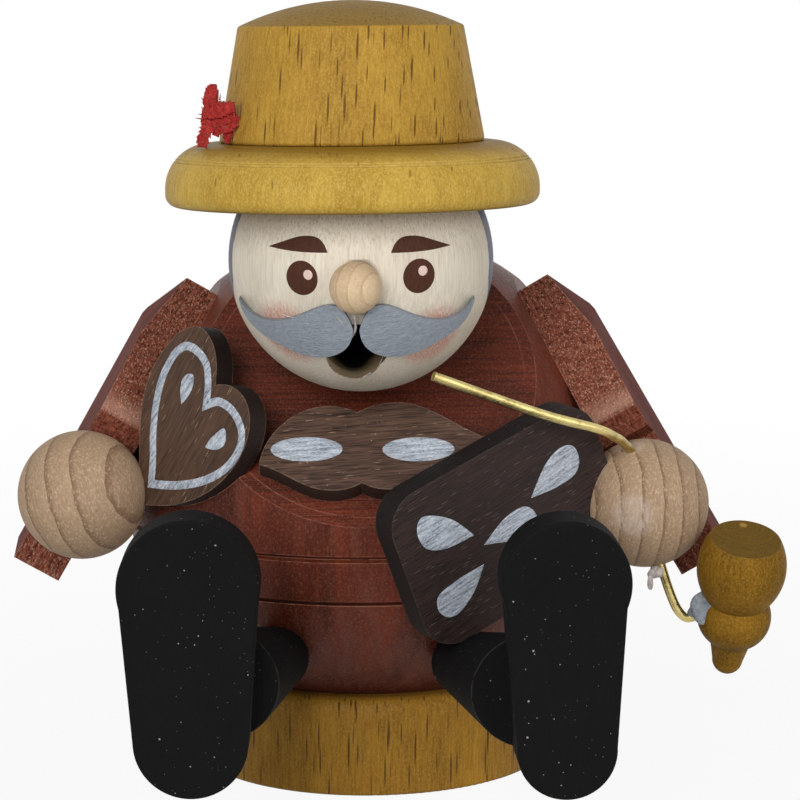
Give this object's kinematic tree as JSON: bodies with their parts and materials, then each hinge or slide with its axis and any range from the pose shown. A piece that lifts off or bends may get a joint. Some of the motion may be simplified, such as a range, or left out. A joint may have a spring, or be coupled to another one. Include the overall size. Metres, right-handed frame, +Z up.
{
  "type": "incense smoker figure",
  "caption": "Seated wooden incense smoker with ball body, brimmed hat, pipe and sawn gingerbread; the upper body lifts off to take an incense cone, smoke leaves by the mouth",
  "frame": {"origin": "centre of the flat underside of the base disc", "axes": "+Z up, the figure faces -Y, +X is the viewer's right and the figure's own left"},
  "size_m": [0.1067, 0.0905, 0.1091],
  "materials": {
    "beech_yellow": "yellow stain with open grain flecks",
    "beech_brown": "yellow-brown stain with dark grain flecks",
    "stained_red": "red-brown stain, satin",
    "face_cream": "cream stain, satin",
    "beech_natural": "bare sanded beech",
    "paint_blue_grey": "blue-grey paint, matte",
    "gingerbread_brown": "brown stain, matte",
    "gingerbread_dark": "dark brown stain, matte",
    "stain_black": "black stain, matte",
    "pipe_wood": "yellow-brown stain, satin",
    "dowel_wood": "bare beech dowel",
    "brass": "drawn wire",
    "tin": "stamped sheet",
    "incense": "pressed incense powder",
    "plume_red": "stiff dyed tuft"
  },
  "bodies": {
    "stand": {"base_disc": "beech_yellow", "base_dowels": "dowel_wood", "lower_body": "stained_red", "incense_plate": "tin", "right_leg": "stain_black", "left_leg": "stain_black", "leg_dowels": "dowel_wood", "right_shoe": "stain_black", "left_shoe": "stain_black"},
    "figure": {"upper_body": "stained_red", "neck_tube": "dowel_wood", "head": "face_cream", "nose": "beech_natural", "right_moustache": "paint_blue_grey", "left_moustache": "paint_blue_grey", "hat_brim": "beech_yellow", "hat_crown": "beech_brown", "hat_dowel": "dowel_wood", "hat_plume": "plume_red", "right_arm": "stained_red", "left_arm": "stained_red", "arm_dowels": "dowel_wood", "right_hand": "beech_natural", "left_hand": "beech_natural", "gingerbread_heart": "gingerbread_brown", "gingerbread_chest": "gingerbread_brown", "gingerbread_slab": "gingerbread_dark", "pipe_stem": "brass", "pipe_bowl": "pipe_wood"},
    "cone": {"incense_cone": "incense"}
  },
  "joints": [
    {"name": "figure_lift", "type": "slide", "parent": "stand", "child": "figure", "axis": [0, 0, 1], "range_m": [0, 0.04]},
    {"name": "cone_lift", "type": "slide", "parent": "stand", "child": "cone", "axis": [0, 0, 1], "range_m": [0, 0.005]}
  ]
}
